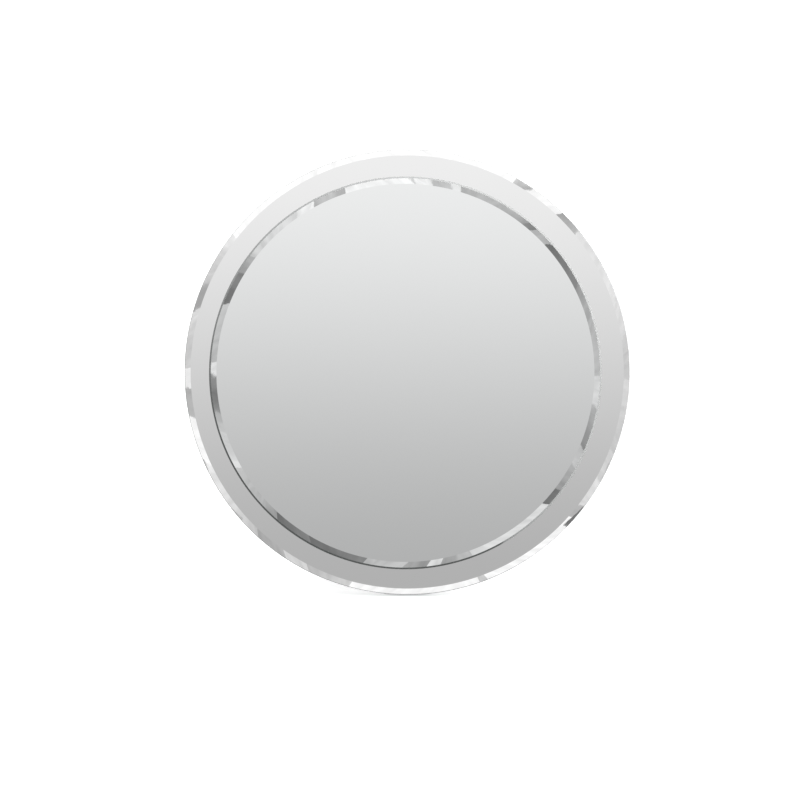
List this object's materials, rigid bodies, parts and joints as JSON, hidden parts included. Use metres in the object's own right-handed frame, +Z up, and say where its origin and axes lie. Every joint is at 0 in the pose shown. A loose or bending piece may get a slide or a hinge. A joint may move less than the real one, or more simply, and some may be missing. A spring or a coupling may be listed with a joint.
{
  "type": "countertop mirror",
  "caption": "Round frameless countertop mirror: a bevelled disc bonded on a larger bevelled disc, leaning back on a rubber foot and a folding easel strut.",
  "frame": {"origin": "on the counter, under the middle of the open mirror's bounding box", "axes": "+Z up; the glass faces -Y and leans back 12 degrees; +X to the viewer's right; the strut stands out towards +Y"},
  "size_m": [0.4, 0.1424, 0.393],
  "materials": {
    "mirror_glass": "polished float glass, 5 mm, polished bevel, ground edge",
    "silvering": "wet-silvered, bright",
    "backing_paint": "grey mirror backing paint, satin",
    "safety_film": "pale grey woven-look safety film, matt",
    "foam_tape": "closed-cell white foam tape",
    "adhesive": "cured mirror adhesive, satin",
    "black_board": "fibreboard, black lacquer, satin",
    "felt": "charcoal needle felt, matt",
    "zinc_steel": "zinc-plated steel, satin",
    "screw_steel": "zinc-plated screws, semi-bright",
    "rivet_aluminium": "aluminium, semi-bright",
    "rubber": "moulded black rubber, matt"
  },
  "bodies": {
    "mirror": {"rear_mirror_glass": "mirror_glass", "rear_mirror_silvering": "silvering", "rear_backing_paint": "backing_paint", "rear_safety_film": "safety_film", "mounting_tape_strips": "foam_tape", "adhesive_dabs": "adhesive", "backing_board": "black_board", "front_foot": "rubber", "back_felt": "felt", "front_bond_pads": "foam_tape", "front_backing_paint": "backing_paint", "front_mirror_silvering": "silvering", "front_mirror_glass": "mirror_glass", "hinge_fixed_leaf": "zinc_steel", "hinge_pin": "zinc_steel", "hinge_screws": "screw_steel", "front_foot_screws": "screw_steel"},
    "strut": {"hinge_strut_leaf": "zinc_steel", "strut_board": "black_board", "strut_felt": "felt", "strut_rivets": "rivet_aluminium", "rivet_washers": "zinc_steel", "strut_shoe": "rubber", "strut_bumper": "rubber"}
  },
  "joints": [
    {"name": "strut_fold", "type": "hinge", "parent": "mirror", "child": "strut", "pos_m": [0, 0.00324, 0.24698], "axis": [-1, 0, 0], "range_deg": [0, 25]}
  ]
}
